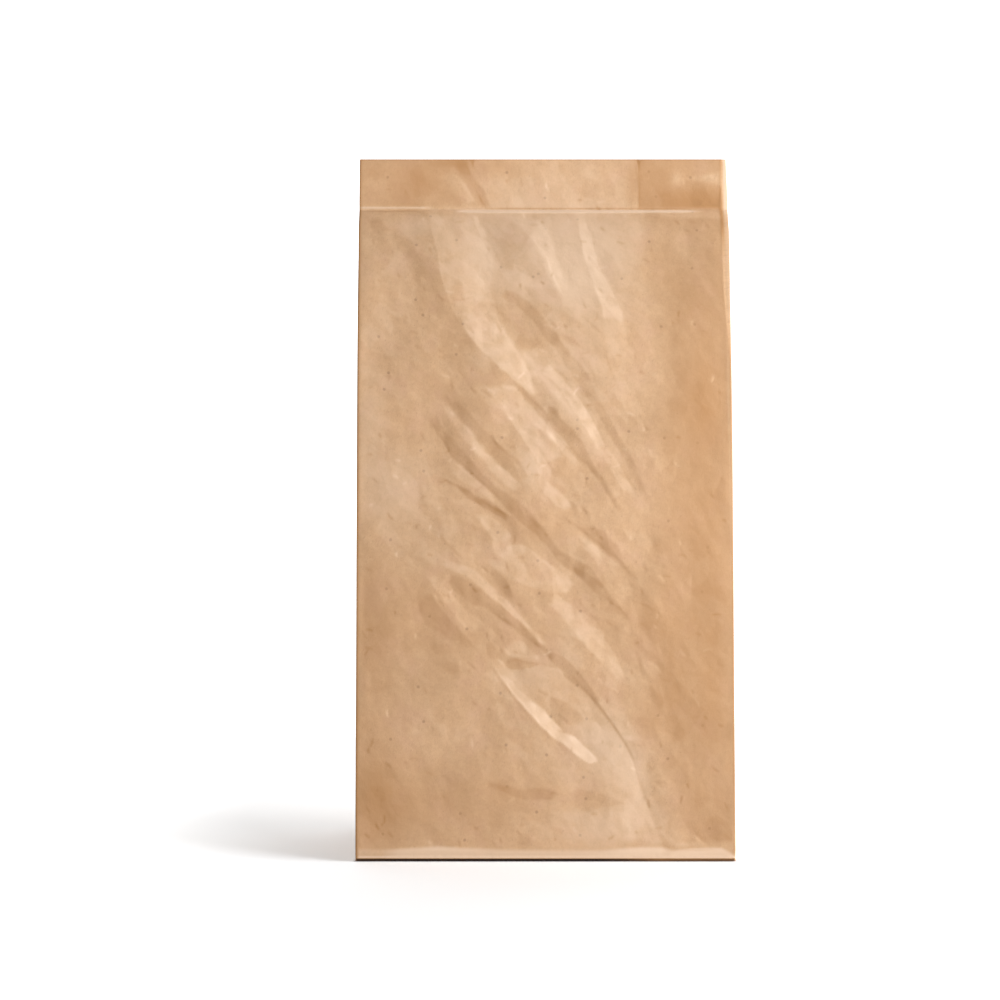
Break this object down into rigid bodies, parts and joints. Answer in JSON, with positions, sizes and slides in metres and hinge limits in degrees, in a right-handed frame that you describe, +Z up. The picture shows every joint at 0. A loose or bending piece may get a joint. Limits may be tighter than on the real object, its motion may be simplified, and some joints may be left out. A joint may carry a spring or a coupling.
{
  "type": "paper bag",
  "caption": "Gusseted kraft paper bag standing on its flat base, with its mouth pressed shut and a creased front panel.",
  "frame": {"origin": "middle of the flat base, on the surface that the bag stands on", "axes": "+X across the front panel to the viewer's right, +Y from the front panel to the back, +Z up"},
  "size_m": [0.183, 0.1107, 0.34],
  "materials": {
    "kraft_paper": "matte brown kraft paper with fine fibres and specks"
  },
  "bodies": {
    "root": {"bag": "kraft_paper"}
  },
  "joints": []
}
